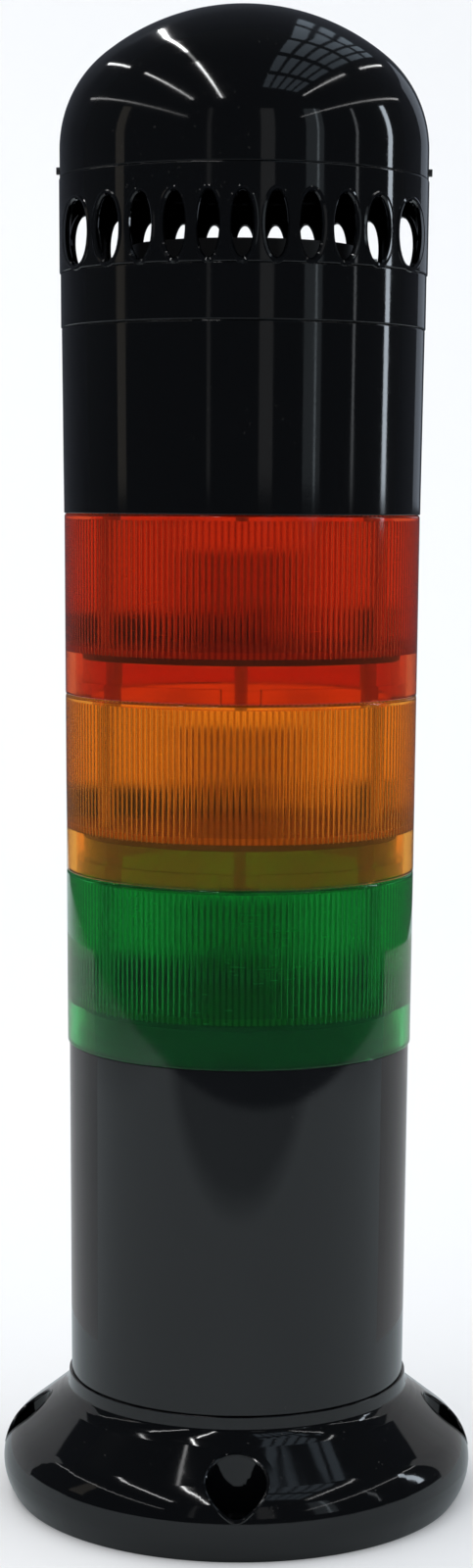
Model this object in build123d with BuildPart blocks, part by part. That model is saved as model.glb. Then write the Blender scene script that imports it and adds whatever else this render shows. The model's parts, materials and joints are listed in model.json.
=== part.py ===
from build123d import *
from math import cos, pi, radians, sin
import os

# Three-tier stack light with a sounder head, standing on a bell-shaped foot.
# Origin: centre of the foot's underside. +Z is up, and the front looks along -Y.

# Body. The lens radius leads, and the other shells step out or in from it.
lens_r = 50.0
tube_inset = 0.5             # tube set in from the lens
housing_bottom_step = 0.1    # black tier's lower edge out from the lens
housing_top_step = 0.4
collar_step = 0.6
ring_step = 0.9
cap_inset = 0.2              # cap set in from the sound ring
slide_gap = 0.3              # radial clearance where one shell slides into the next

# Foot
foot_reach = 20.5            # from the tube's face out to the widest radius of the bell
foot_tuck = 3.4              # from the widest radius in to the ring that it stands on
foot_widest_z = 10.0         # height of the widest radius
foot_crown_r = 14.17         # convex radius above the widest point
foot_slope = 38.5            # degrees below horizontal, between flare and crown
foot_flare_r = 8.0           # concave radius that runs into the tube
foot_wall = 3.0
foot_web = 3.5               # web across the top of the bell
cable_hole_r = 14.0

# Mounting screw pockets, oval seen from above
pocket_count = 4
pocket_rim = 0.5             # from a pocket's outer side to the widest radius
pocket_length = 13.5         # across the rim of the foot
pocket_width = 17.6          # along the rim
pocket_floor_z = 10.0
pocket_wall = 2.5
mount_hole_inset = 9.0       # from the widest radius in to a mounting hole's axis
mount_hole_r = 3.5
gusset_width = 2.4

# Base tube
tube_height = 100.0
tube_wall = 2.8
tube_deck = 2.4              # deck inside the tube that the tie rods pull on
tube_deck_drop = 12.6        # from the tube's top down to the deck's top
wire_hole_r = 12.0
spigot_height = 4.0
spigot_wall = 2.0
boss_inset = 6.7             # from the tube's bore in to a boss's axis
boss_r = 4.0
boss_height = 22.0
boss_rib_width = 3.0

# Light tiers
tier_height = 50.0
lens_wall = 2.7
shoulder = 1.6               # thickness of the step at the top of a tier
skirt_height = 12.0          # plain band below the ribs
rib_count = 180
rib_depth = 0.5
rib_tip_inset = 0.75         # rib tips stand this far inside the skirt's inner face
rim_step = 1.8               # neck set in from the locating rim
neck_wall = 2.4
neck_height = 10.2
locating_height = 4.0
key_width = 10.4
key_height = 3.4
key_depth = 1.7
key_gap = 0.3
seal_height = 1.7
seal_gap = 0.1

# Boards and lamps inside the tiers
board_inset = 0.2            # board's edge set in from the neck's face
board_thickness = 1.8
tower_width = 16.0           # across the flats of the six-sided lamp tower
tower_wall = 1.5
tower_height = 26.0
lamp_rows = 3
lamp_pitch = 7.5
lamp_size = 3.4
lamp_depth = 1.8
relay_size = (24.0, 14.0, 8.0)
relay_inset = 18.0           # from the board's edge in to the relay's centre
relay_back = 14.0            # from the middle of the board towards the back
capacitor_r = 4.0
capacitor_height = 10.0
capacitor_inset = 20.0
capacitor_back = (16.0, 6.0)

# Tie rods
rod_count = 3
rod_inset = 3.5              # from the neck's bore in to a rod's axis
rod_r = 2.0
rod_hole_gap = 0.3
rod_proud = 5.0              # length beyond each nut's seat
nut_flats = 7.0
nut_height = 3.2
nut_bore_gap = 0.05

# Collar and sound ring
collar_ledge = 2.2
ring_seat_depth = 1.9        # depth that the sound ring's spigot drops into the collar
ring_height = 25.0
ring_wall = 2.6
ring_turn = -0.4             # degrees the whole sounder head is turned on the stack
ring_bottom_ledge = 1.1
ring_top_ledge = 1.3
ring_spigot_wall = 2.2
ring_spigot_height = 4.5
hole_count = 11
hole_edge = 1.0              # from the ring's bore in to the outermost hole
hole_width = 5.6
hole_height = 16.5
hole_up = 1.25               # from the ring's lower seam to the bottom of the holes

# Sounder
plate_thickness = 2.4
plate_hole_gap = 3.0         # round the magnet, where it passes through the plate
can_gap = 4.3                # from a rod's axis in to the can's flange
can_flange_width = 4.0
can_flange = 1.5
can_height = 9.5
can_wall = 1.4
cone_rim_drop = 3.2
cone_depth = 4.0
cone_wall = 0.8
cone_hub_r = 10.0
magnet_r = 17.0
magnet_height = 10.0
sounder_screw_count = 3
sounder_screw_inset = 1.8    # from the flange's edge in to a screw's axis
sounder_screw_head_r = 1.7
sounder_screw_r = 1.0

# Domed cap
cap_wall = 2.6
cap_straight = 7.7           # upright wall below the dome
cap_rise = 37.8              # height of the dome above the upright wall
cap_crown_gain = 6.8         # what the crown adds to the height of the shoulder's radius
cap_screw_up = 2.5           # from the cap's seam to the screw's axis
cap_screw_head_r = 1.0
cap_screw_head = 1.0
cap_screw_r = 0.7
cap_screw_length = 6.0
screw_gap = 0.08

# Tube screws
tube_screw_r = 1.5
tube_screw_head_r = 3.3
tube_screw_head = 2.2
tube_screw_length = 16.0

# Terminal block
block_size = (50.0, 18.0, 14.0)
block_inset = 24.2           # from the tube's bore in to the block's centre
way_count = 6
way_pitch = 7.8
wire_way_r = 2.0
clamp_screw_r = 1.8
clamp_screw_depth = 4.0

# Radii of the shells, from the outside in
tube_r = lens_r - tube_inset
tube_in_r = tube_r - tube_wall
foot_r = tube_r + foot_reach
skirt_r = lens_r - lens_wall                 # bore of every skirt in the stack
locating_r = skirt_r - slide_gap             # rim below the neck that centres the next skirt
neck_r = locating_r - rim_step
neck_in_r = neck_r - neck_wall
board_r = neck_r - board_inset
collar_r = lens_r + collar_step
ring_r = lens_r + ring_step
ring_in_r = ring_r - ring_wall
cap_r = ring_r - cap_inset

# Places that follow from the radii
pocket_circle_r = foot_r - pocket_rim - pocket_length / 2
mount_circle_r = foot_r - mount_hole_inset
boss_circle_r = tube_in_r - boss_inset
rod_circle_r = neck_in_r - rod_inset
can_flange_r = rod_circle_r - can_gap
can_r = can_flange_r - can_flange_width
sounder_screw_circle_r = can_flange_r - sounder_screw_inset
hole_pitch = (2 * (ring_in_r - hole_edge) - hole_width) / (hole_count - 1)
front = -90.0                                # compass angle of the front, in degrees
rod_angle = front + 60                       # first tie rod
sounder_screw_angle = front + 180            # first sounder screw, clear of the tie rods

# Levels of the seams between the shells. The foot is as high as its curves make it.
slope_out = sin(radians(foot_slope))
slope_up = cos(radians(foot_slope))
foot_curves = (foot_crown_r + foot_flare_r) * (1 - slope_out)
foot_height = foot_widest_z + (foot_curves + foot_reach * slope_out) / slope_up
tube_base = foot_height
green_base = tube_base + tube_height
amber_base = green_base + tier_height
red_base = amber_base + tier_height
housing_base = red_base + tier_height
collar_base = housing_base + tier_height
plate_base = collar_base + neck_height       # the sounder plate sits on the black tier's neck
plate_top = plate_base + plate_thickness
ring_base = plate_top + ring_seat_depth
cap_base = ring_base + ring_height
tube_deck_top = green_base - tube_deck_drop
board_up = neck_height + seal_height         # from a tier's seam to its board's underside

os.makedirs("parts", exist_ok=True)


def save(name, piece):
    """Labels a finished piece and writes it as its own STEP file."""
    piece.part.label = name
    export_step(piece.part, f"parts/{name}.step")


def turn(points):
    """Revolves a closed outline of (radius, height) points about the stack's axis."""
    with BuildSketch(Plane.XZ) as section:
        with BuildLine():
            Polyline(*points, close=True)
        make_face()
    revolve(section.sketch, axis=Axis.Z)


def facing(angle):
    """Upright plane through the stack's axis whose normal points to a compass angle."""
    across, along = sin(radians(angle)), cos(radians(angle))
    return Plane(origin=(0, 0, 0), x_dir=(-across, along, 0), z_dir=(along, across, 0))


def around(radius, count, first_angle):
    """Places on a circle about the stack's axis."""
    return PolarLocations(radius, count, start_angle=first_angle)


def drill(radius, circle_r, count, first_angle, low, high):
    """Cuts a circle of upright holes between two heights."""
    with BuildSketch(Plane.XY.offset(low)) as holes:
        with around(circle_r, count, first_angle):
            Circle(radius)
    extrude(holes.sketch, amount=high - low, mode=Mode.SUBTRACT)


def neck_outline(outer_r, inner_r, top):
    """Outline points of a tier's shoulder and neck, from the outer face round to the bore."""
    return [
        (outer_r, top),
        (locating_r, top),
        (locating_r, top + locating_height),
        (neck_r, top + locating_height),
        (neck_r, top + neck_height),
        (neck_in_r, top + neck_height),
        (neck_in_r, top - shoulder),
        (inner_r, top - shoulder),
    ]


def cut_key_notch(top):
    """Cuts the front notch in the locating rim, which takes the key of the tier above."""
    notch_width = key_width + 2 * key_gap
    with BuildSketch(Plane.XY.offset(top)) as notch:
        with Locations((0, -locating_r)):
            Rectangle(notch_width, 2 * (locating_r - neck_r + slide_gap))
        Circle(neck_r, mode=Mode.SUBTRACT)
    extrude(notch.sketch, amount=locating_height, mode=Mode.SUBTRACT)


def add_key(base):
    """Adds the key inside the front of a skirt."""
    with BuildSketch(Plane.XY.offset(base + key_gap)) as key:
        Circle(skirt_r + slide_gap)
        Circle(skirt_r - key_depth, mode=Mode.SUBTRACT)
        with Locations((0, -skirt_r)):
            Rectangle(key_width, skirt_r, mode=Mode.INTERSECT)
    extrude(key.sketch, amount=key_height)


def bell_section(inset, top_z):
    """Half section of the bell, drawn this far inside its outer face and cut off level."""
    downhill = Vector(slope_out, slope_up)       # square to the slope
    crown = Vector(foot_r - foot_crown_r, foot_widest_z)
    crown_end = crown + downhill * (foot_crown_r - inset)
    flare = Vector(tube_r + foot_flare_r, foot_height)
    flare_start = flare - downhill * (foot_flare_r + inset)
    flare_end = (tube_r - inset, foot_height)
    tuck_r = (foot_tuck**2 + foot_widest_z**2) / (2 * foot_tuck)
    low_x = foot_r - tuck_r + ((tuck_r - inset) ** 2 - foot_widest_z**2) ** 0.5
    with BuildSketch(Plane.XZ) as section:
        with BuildLine():
            floor = Line((0, 0), (low_x, 0))
            tuck_arc = TangentArc((foot_r - inset, foot_widest_z), floor @ 1, tangent=(0, -1))
            crown_arc = TangentArc(tuck_arc @ 0, (crown_end.X, crown_end.Y), tangent=(0, 1))
            cone = Line(crown_arc @ 1, (flare_start.X, flare_start.Y))
            flare_arc = TangentArc(cone @ 1, flare_end, tangent=cone % 1)
            Polyline(flare_arc @ 1, (0, foot_height), (0, 0))
        make_face()
        with Locations((0, top_z)):
            Rectangle(foot_r, foot_height, align=Align.MIN, mode=Mode.SUBTRACT)
    return section.sketch


def cap_section(inset):
    """Half section of the domed cap, drawn this far inside its outer face."""
    shoulder_r = cap_rise - cap_crown_gain
    shoulder_x = cap_r - shoulder_r
    crown_r = (shoulder_x**2 + cap_rise**2 - shoulder_r**2) / (2 * cap_crown_gain)
    to_join = Vector(shoulder_x, crown_r - cap_rise).normalized()
    shoulder_z = cap_base + cap_straight
    join = Vector(shoulder_x, shoulder_z) + to_join * (shoulder_r - inset)
    with BuildSketch(Plane.XZ) as section:
        with BuildLine():
            wall = Line((cap_r - inset, cap_base), (cap_r - inset, shoulder_z))
            shoulder_arc = TangentArc(wall @ 1, (join.X, join.Y), tangent=(0, 1))
            summit = (0, shoulder_z + cap_rise - inset)
            crown_arc = TangentArc(shoulder_arc @ 1, summit, tangent=shoulder_arc % 1)
            Polyline(crown_arc @ 1, (0, cap_base), wall @ 0)
        make_face()
    return section.sketch


# Foot: a bell with screw pockets, a web that carries the tube, and gussets under it
with BuildPart() as bell:
    revolve(bell_section(0, foot_height), axis=Axis.Z)

with BuildPart() as stiffeners:
    with BuildSketch():
        with around(pocket_circle_r, pocket_count, front):
            Ellipse(pocket_length / 2 + pocket_wall, pocket_width / 2 + pocket_wall)
        gusset_from = boss_circle_r + boss_r
        with around((gusset_from + foot_r) / 2, pocket_count, front + 180 / pocket_count):
            Rectangle(foot_r - gusset_from, gusset_width)
    extrude(amount=foot_height)
    add(bell.part, mode=Mode.INTERSECT)

with BuildPart() as foot:
    add(bell.part)
    hollow = bell_section(foot_wall, foot_height - foot_web)
    revolve(hollow, axis=Axis.Z, mode=Mode.SUBTRACT)
    add(stiffeners.part)
    spigot_r = tube_in_r - slide_gap
    with BuildSketch(Plane.XY.offset(foot_height)):
        Circle(spigot_r)
        Circle(spigot_r - spigot_wall, mode=Mode.SUBTRACT)
        with around(spigot_r, pocket_count, front):
            Rectangle(4 * spigot_wall, boss_rib_width + 2 * slide_gap, mode=Mode.SUBTRACT)
    extrude(amount=spigot_height)
    with BuildSketch(Plane.XY.offset(pocket_floor_z)):
        with around(pocket_circle_r, pocket_count, front):
            Ellipse(pocket_length / 2, pocket_width / 2)
    extrude(amount=foot_height - pocket_floor_z, mode=Mode.SUBTRACT)
    drill(mount_hole_r, mount_circle_r, pocket_count, front, 0, pocket_floor_z)
    drill(tube_screw_r + 2 * screw_gap, boss_circle_r, pocket_count, front, 0, foot_height)
    drill(cable_hole_r, 0, 1, front, 0, foot_height)
save("base_flange", foot)

# Screws that hold the tube down on the foot's web, driven from below
with BuildPart() as tube_screws:
    seat_z = foot_height - foot_web
    with BuildSketch(Plane.XY.offset(seat_z - tube_screw_head)):
        with around(boss_circle_r, pocket_count, front):
            Circle(tube_screw_head_r)
    extrude(amount=tube_screw_head)
    with BuildSketch(Plane.XY.offset(seat_z)):
        with around(boss_circle_r, pocket_count, front):
            Circle(tube_screw_r)
    extrude(amount=tube_screw_length)
save("tube_screws", tube_screws)

# Base tube, with its deck, screw bosses and the black neck that centres the green tier
with BuildPart() as base_tube:
    turn(
        [(tube_in_r, tube_base), (tube_r, tube_base)]
        + neck_outline(tube_r, tube_in_r, green_base)
        + [
            (tube_in_r, tube_deck_top),
            (wire_hole_r, tube_deck_top),
            (wire_hole_r, tube_deck_top - tube_deck),
            (tube_in_r, tube_deck_top - tube_deck),
        ]
    )
    with BuildSketch(Plane.XY.offset(tube_base)):
        with around(boss_circle_r, pocket_count, front):
            Circle(boss_r)
        with around((boss_circle_r + tube_in_r) / 2, pocket_count, front):
            Rectangle(tube_in_r - boss_circle_r + tube_wall, boss_rib_width)
    extrude(amount=boss_height)
    boss_bore_r = tube_screw_r + screw_gap
    drill(boss_bore_r, boss_circle_r, pocket_count, front, tube_base, tube_base + boss_height)
    drill(rod_r + rod_hole_gap, rod_circle_r, rod_count, rod_angle,
          tube_deck_top - tube_deck, tube_deck_top)
    cut_key_notch(green_base)
save("base_tube", base_tube)

# Terminal block under the tube's deck, and its clamping screws
block_top = tube_deck_top - tube_deck
block_y = tube_in_r - block_inset
block_plane = Plane.XY.offset(block_top - block_size[2])
with BuildPart() as terminal_block:
    with BuildSketch(block_plane):
        with Locations((0, block_y)):
            Rectangle(block_size[0], block_size[1])
    extrude(amount=block_size[2])
    with BuildSketch(Plane.XZ.offset(-block_y + block_size[1] / 2)):
        with Locations((0, block_top - block_size[2] / 2)):
            with GridLocations(way_pitch, 1, way_count, 1):
                Circle(wire_way_r)
    extrude(amount=-block_size[1], mode=Mode.SUBTRACT)
    with BuildSketch(block_plane):
        with Locations((0, block_y)):
            with GridLocations(way_pitch, 1, way_count, 1):
                Circle(clamp_screw_r + screw_gap)
    extrude(amount=clamp_screw_depth, mode=Mode.SUBTRACT)
save("terminal_block", terminal_block)

with BuildPart() as clamp_screws:
    with BuildSketch(block_plane.offset(clamp_screw_depth / 4)):
        with Locations((0, block_y)):
            with GridLocations(way_pitch, 1, way_count, 1):
                Circle(clamp_screw_r)
    extrude(amount=clamp_screw_depth * 3 / 4)
save("clamp_screws", clamp_screws)


def make_lens(base):
    """A ribbed lens: plain skirt below, upright prism ribs inside, shoulder and neck on top."""
    top = base + tier_height
    tip_r = skirt_r - rib_tip_inset
    with BuildPart() as lens:
        turn(
            [(skirt_r, base), (lens_r, base)]
            + neck_outline(lens_r, tip_r - rib_depth, top)
            + [(tip_r - rib_depth, base + skirt_height), (skirt_r, base + skirt_height)]
        )
        with BuildSketch(Plane.XY.offset(base + skirt_height)):
            with BuildLine():
                half_step = pi / rib_count
                radii = (tip_r, tip_r + rib_depth)
                corners = [
                    (radii[i % 2] * cos(i * half_step), radii[i % 2] * sin(i * half_step))
                    for i in range(2 * rib_count)
                ]
                Polyline(*corners, close=True)
            make_face()
        extrude(amount=tier_height - skirt_height - shoulder, mode=Mode.SUBTRACT)
        add_key(base)
        cut_key_notch(top)
    return lens


def make_seal(base):
    """Flat ring between a neck and the board above it."""
    with BuildPart() as seal:
        with BuildSketch(Plane.XY.offset(base + neck_height)):
            Circle(neck_r - seal_gap)
            Circle(neck_in_r + seal_gap, mode=Mode.SUBTRACT)
        extrude(amount=seal_height)
    return seal


def make_board(base):
    """Round board across a tier, with holes for the tie rods and the wires."""
    with BuildPart() as board:
        with BuildSketch(Plane.XY.offset(base + board_up)):
            Circle(board_r)
            Circle(tower_width / 2 - tower_wall - screw_gap, mode=Mode.SUBTRACT)
            with around(rod_circle_r, rod_count, rod_angle):
                Circle(rod_r + rod_hole_gap, mode=Mode.SUBTRACT)
        extrude(amount=board_thickness)
    return board


def make_components(base):
    """A relay and two capacitors standing on a board."""
    plane = Plane.XY.offset(base + board_up + board_thickness)
    with BuildPart() as components:
        with BuildSketch(plane):
            with Locations((relay_inset - board_r, relay_back)):
                Rectangle(relay_size[0], relay_size[1])
        extrude(amount=relay_size[2])
        with BuildSketch(plane):
            with Locations(*[(board_r - capacitor_inset, back) for back in capacitor_back]):
                Circle(capacitor_r)
        extrude(amount=capacitor_height)
    return components


def make_tower(base):
    """Six-sided lamp tower standing on a board."""
    with BuildPart() as tower:
        with BuildSketch(Plane.XY.offset(base + board_up + board_thickness)):
            RegularPolygon(tower_width / 2, 6, major_radius=False)
            RegularPolygon(tower_width / 2 - tower_wall, 6, major_radius=False, mode=Mode.SUBTRACT)
        extrude(amount=tower_height)
    return tower


def make_lamps(base):
    """Rows of square lamps on the tower's six faces."""
    first_row = base + board_up + board_thickness + lamp_pitch / 2
    with BuildPart() as lamps:
        for row in range(lamp_rows):
            with BuildSketch(Plane.XY.offset(first_row + row * lamp_pitch)):
                with around((tower_width + lamp_depth) / 2, 6, 30):
                    Rectangle(lamp_depth, lamp_size)
            extrude(amount=lamp_size)
    return lamps


tiers = {"green": green_base, "amber": amber_base, "red": red_base}
for colour, base in tiers.items():
    save(f"{colour}_lens", make_lens(base))
    save(f"{colour}_seal", make_seal(base))
    save(f"{colour}_board", make_board(base))
    save(f"{colour}_components", make_components(base))
    save(f"{colour}_lamp_tower", make_tower(base))
    save(f"{colour}_lamps", make_lamps(base))

# Black tier, slightly drafted, with the sounder's driver board in it
with BuildPart() as housing:
    turn(
        [(skirt_r, housing_base), (lens_r + housing_bottom_step, housing_base)]
        + neck_outline(lens_r + housing_top_step, skirt_r, collar_base)
    )
    add_key(housing_base)
    cut_key_notch(collar_base)
save("black_tier", housing)
save("driver_seal", make_seal(housing_base))
save("driver_board", make_board(housing_base))
save("driver_components", make_components(housing_base))

# Collar round the black tier's neck. The sounder plate clamps it down by its ledge.
with BuildPart() as collar:
    ledge_r = neck_r + slide_gap
    turn([
        (skirt_r, collar_base),
        (collar_r, collar_base),
        (collar_r, ring_base),
        (skirt_r, ring_base),
        (skirt_r, plate_base),
        (ledge_r, plate_base),
        (ledge_r, plate_base - collar_ledge),
        (skirt_r, plate_base - collar_ledge),
    ])
    add_key(collar_base)
save("collar", collar)

with BuildPart() as sounder_plate:
    with BuildSketch(Plane.XY.offset(plate_base)):
        Circle(locating_r)
        Circle(magnet_r + plate_hole_gap, mode=Mode.SUBTRACT)
        with around(rod_circle_r, rod_count, rod_angle):
            Circle(rod_r + rod_hole_gap, mode=Mode.SUBTRACT)
        with around(sounder_screw_circle_r, sounder_screw_count, sounder_screw_angle):
            Circle(sounder_screw_r + screw_gap, mode=Mode.SUBTRACT)
    extrude(amount=plate_thickness)
save("sounder_plate", sounder_plate)

# Tie rods pull the sounder plate down on the stack, against the tube's deck
with BuildPart() as tie_rods:
    rod_low = tube_deck_top - tube_deck - rod_proud
    with BuildSketch(Plane.XY.offset(rod_low)):
        with around(rod_circle_r, rod_count, rod_angle):
            Circle(rod_r)
    extrude(amount=plate_top + rod_proud - rod_low)
save("tie_rods", tie_rods)

with BuildPart() as rod_nuts:
    for nut_low in (tube_deck_top - tube_deck - nut_height, plate_top):
        with BuildSketch(Plane.XY.offset(nut_low)):
            with around(rod_circle_r, rod_count, rod_angle):
                RegularPolygon(nut_flats / 2, 6, major_radius=False)
                Circle(rod_r + nut_bore_gap, mode=Mode.SUBTRACT)
        extrude(amount=nut_height)
save("rod_nuts", rod_nuts)

# Sounder: can, cone and magnet on the plate
can_top = plate_top + can_height
cone_rim_z = can_top - cone_rim_drop
with BuildPart() as sounder_can:
    can_in_r = can_r - can_wall
    turn([
        (cone_hub_r, plate_top),
        (can_flange_r, plate_top),
        (can_flange_r, plate_top + can_flange),
        (can_r, plate_top + can_flange),
        (can_r, can_top),
        (can_in_r, can_top),
        (can_in_r, cone_rim_z),
        (can_in_r - 2 * can_wall, cone_rim_z),
        (can_in_r - 2 * can_wall, plate_top + can_wall),
        (cone_hub_r, plate_top + can_wall),
    ])
    drill(sounder_screw_r + screw_gap, sounder_screw_circle_r, sounder_screw_count,
          sounder_screw_angle, plate_top, plate_top + can_flange)
save("sounder_can", sounder_can)

with BuildPart() as sounder_cone:
    rim_r = can_in_r - slide_gap
    roll_r = can_in_r - 2 * can_wall - slide_gap
    hub_z = cone_rim_z - cone_depth
    turn([
        (roll_r, cone_rim_z),
        (rim_r, cone_rim_z),
        (rim_r, cone_rim_z + cone_wall),
        (roll_r - cone_wall, cone_rim_z + cone_wall),
        (cone_hub_r, hub_z + cone_wall),
        (0, hub_z + 2 * cone_wall),
        (0, hub_z + cone_wall),
        (cone_hub_r, hub_z),
        (roll_r - cone_wall, cone_rim_z),
    ])
save("sounder_cone", sounder_cone)

with BuildPart() as magnet:
    with BuildSketch(Plane.XY.offset(plate_top - magnet_height)):
        Circle(magnet_r)
    extrude(amount=magnet_height)
    chamfer(magnet.faces().sort_by(Axis.Z)[0].edges(), can_wall)
save("sounder_magnet", magnet)

with BuildPart() as sounder_screws:
    with BuildSketch(Plane.XY.offset(plate_base)):
        with around(sounder_screw_circle_r, sounder_screw_count, sounder_screw_angle):
            Circle(sounder_screw_r)
    extrude(amount=plate_thickness + can_flange)
    with BuildSketch(Plane.XY.offset(plate_top + can_flange)):
        with around(sounder_screw_circle_r, sounder_screw_count, sounder_screw_angle):
            Circle(sounder_screw_head_r)
    extrude(amount=can_flange)
save("sounder_screws", sounder_screws)

# Sound ring. Its oval ports are pulled straight from front to back, as the mould pulls them.
with BuildPart() as sound_ring:
    top_spigot_r = cap_r - cap_wall - slide_gap
    spigot_in_r = locating_r - ring_spigot_wall
    top_spigot_in_r = top_spigot_r - ring_spigot_wall
    turn([
        (spigot_in_r, plate_top),
        (locating_r, plate_top),
        (locating_r, ring_base),
        (ring_r, ring_base),
        (ring_r, cap_base),
        (top_spigot_r, cap_base),
        (top_spigot_r, cap_base + ring_spigot_height),
        (top_spigot_in_r, cap_base + ring_spigot_height),
        (top_spigot_in_r, cap_base - ring_top_ledge),
        (ring_in_r, cap_base - ring_top_ledge),
        (ring_in_r, ring_base + ring_bottom_ledge),
        (spigot_in_r, ring_base + ring_bottom_ledge),
    ])
    with BuildSketch(facing(front + ring_turn)):
        with Locations((0, ring_base + hole_up + hole_height / 2)):
            with GridLocations(hole_pitch, 1, hole_count, 1):
                Ellipse(hole_width / 2, hole_height / 2)
    extrude(amount=ring_r, both=True, mode=Mode.SUBTRACT)
    with BuildSketch(facing(ring_turn)):
        with Locations((0, cap_base + cap_screw_up)):
            Circle(cap_screw_r + screw_gap)
    extrude(amount=ring_r, both=True, mode=Mode.SUBTRACT)
save("sound_ring", sound_ring)

# Domed cap, and the two side screws that hold it on the sound ring
with BuildPart() as cap:
    revolve(cap_section(0), axis=Axis.Z)
    revolve(cap_section(cap_wall), axis=Axis.Z, mode=Mode.SUBTRACT)
    with BuildSketch(facing(ring_turn)):
        with Locations((0, cap_base + cap_screw_up)):
            Circle(cap_screw_r + screw_gap)
    extrude(amount=cap_r, both=True, mode=Mode.SUBTRACT)
save("dome_cap", cap)

with BuildPart() as cap_screws:
    for side in (0, 180):
        outward = facing(ring_turn + side)
        with BuildSketch(outward.offset(cap_r - cap_screw_length)):
            with Locations((0, cap_base + cap_screw_up)):
                Circle(cap_screw_r)
        extrude(amount=cap_screw_length)
        with BuildSketch(outward.offset(cap_r)):
            with Locations((0, cap_base + cap_screw_up)):
                Circle(cap_screw_head_r)
        extrude(amount=cap_screw_head)
save("cap_screws", cap_screws)
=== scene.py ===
"""Looks for the stack light: finer shells, ribbed lenses, materials, lights and camera."""
import json
import math

import bmesh
import bpy
from mathutils import Matrix, Vector


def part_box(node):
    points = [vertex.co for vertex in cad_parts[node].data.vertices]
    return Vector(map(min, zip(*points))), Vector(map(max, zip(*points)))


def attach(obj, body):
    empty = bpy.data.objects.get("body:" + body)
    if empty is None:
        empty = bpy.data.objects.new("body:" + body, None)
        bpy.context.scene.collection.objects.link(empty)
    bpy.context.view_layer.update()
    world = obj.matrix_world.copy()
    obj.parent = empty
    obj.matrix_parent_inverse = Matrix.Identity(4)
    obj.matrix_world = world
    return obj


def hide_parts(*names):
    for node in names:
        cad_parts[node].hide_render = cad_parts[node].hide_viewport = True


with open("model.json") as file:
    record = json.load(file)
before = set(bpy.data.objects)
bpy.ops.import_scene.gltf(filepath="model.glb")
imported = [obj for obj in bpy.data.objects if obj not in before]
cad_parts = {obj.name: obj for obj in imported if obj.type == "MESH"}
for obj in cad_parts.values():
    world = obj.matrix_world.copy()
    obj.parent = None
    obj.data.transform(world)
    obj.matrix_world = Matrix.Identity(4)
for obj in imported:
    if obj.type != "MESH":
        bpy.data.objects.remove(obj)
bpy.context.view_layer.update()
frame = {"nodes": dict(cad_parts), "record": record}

MM = 0.001
PHOTO_WIDTH = 483
PHOTO_HEIGHT = 1600


def low(node):
    """Height of a node's lowest point, in millimetres."""
    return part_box(node)[0].z / MM


def high(node):
    """Height of a node's highest point, in millimetres."""
    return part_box(node)[1].z / MM


# Seams between the shells, in millimetres
tube_base = low("base_tube")
green_base = low("green_lens")
amber_base = low("amber_lens")
housing_base = low("black_tier")
collar_base = low("collar")
ring_base = high("collar")
cap_base = low("dome_cap")

# Radii and wall sizes of the shells, in millimetres
lens_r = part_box("green_lens")[1].x / MM
ring_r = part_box("sound_ring")[1].x / MM
skirt_wall = 2.7
locating_gap = 0.3
locating_step = 1.8
neck_wall = 2.4
skirt_r = lens_r - skirt_wall
locating_r = skirt_r - locating_gap
neck_r = locating_r - locating_step
neck_in_r = neck_r - neck_wall
neck_height = 10.2
locating_height = 4.0
shoulder = 1.6
skirt_height = 12.0
rib_count = 180
rib_depth = 0.3
rib_relief = 0.75
rib_tip_r = skirt_r - rib_relief
rib_facets = 8
key_width = 10.4
key_depth = 1.7
key_low = 0.3
key_high = 3.7
notch_width = 11.0
spigot_wall = 2.2
spigot_gap = 0.3
edge_fillet = 0.4
thin_fillet = 0.35                           # on the tube, the lenses and the black tier
neck_fillet = 0.3
lens_shoulder_fillet = 0.8
tier_shoulder_fillet = 0.5
shell_columns = 288
sharp_angle = math.radians(35)

# Sounder head, in millimetres
head_turn = math.radians(-0.4)
cap_step = 0.2
cap_r = ring_r - cap_step
cap_wall = 2.6
cap_straight = 7.7
cap_rise = 37.8
cap_crown_gain = 6.8
cap_screw_up = 2.5
cap_screw_hole_r = 0.78
ring_wall = 2.6
ring_in_r = ring_r - ring_wall
port_count = 11
port_width = 5.6
port_height = 16.5
port_sill = 1.25
port_margin = 1.0
port_low = ring_base + port_sill
port_pitch = (2 * (ring_in_r - port_margin) - port_width) / (port_count - 1)
port_lip = 1.0
port_lip_proud = 0.12
rim_points = 72                              # round each port and each screw pocket

# Foot, in millimetres
foot_slope = math.radians(38.5)
foot_slope_r = 56.0                          # a place on its straight slope
foot_slope_z = 27.97
foot_rim_r = lens_r + 0.2
foot_rim_fillet = 3.0
foot_rim_edge = 0.25

# Foot's screw pockets, in millimetres
pocket_count = 4
pocket_length = 13.5
pocket_width = 17.6
pocket_inset = 0.5
pocket_circle_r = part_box("base_flange")[1].x / MM - pocket_inset - pocket_length / 2
pocket_lip = 0.6
pocket_lip_out = 0.25
pocket_lip_proud = 0.2


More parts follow.
